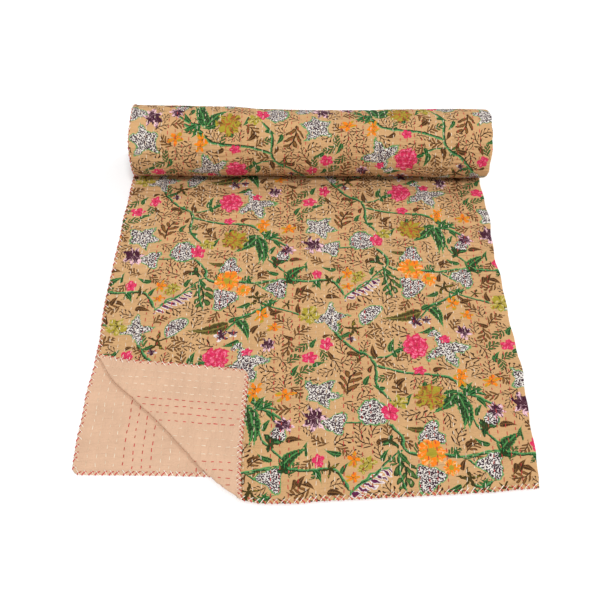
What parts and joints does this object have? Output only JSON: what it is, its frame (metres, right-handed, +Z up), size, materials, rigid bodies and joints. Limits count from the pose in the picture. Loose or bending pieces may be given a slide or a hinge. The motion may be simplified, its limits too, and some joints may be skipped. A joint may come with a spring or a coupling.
{
  "type": "kantha quilt",
  "caption": "Printed cotton quilt with running stitches, folded lengthwise with its print outside, far end rolled up and a front corner turned back to show the plain backing.",
  "frame": {"origin": "middle of the footprint of the folded and rolled quilt, on the surface that it lies on", "axes": "+Z up, +X to the right along the roll and towards the lengthwise fold, +Y from the front hem to the roll"},
  "size_m": [0.7724, 0.8784, 0.1533],
  "materials": {
    "printed_cotton": "matt cotton, tan ground with a printed flowering vine",
    "plain_cotton": "matt plain cotton, pink-beige",
    "cream_thread": "soft cotton thread, cream",
    "red_thread": "soft cotton thread, red"
  },
  "bodies": {
    "root": {"printed_cloth": "printed_cotton", "plain_backing": "plain_cotton"}
  },
  "joints": []
}
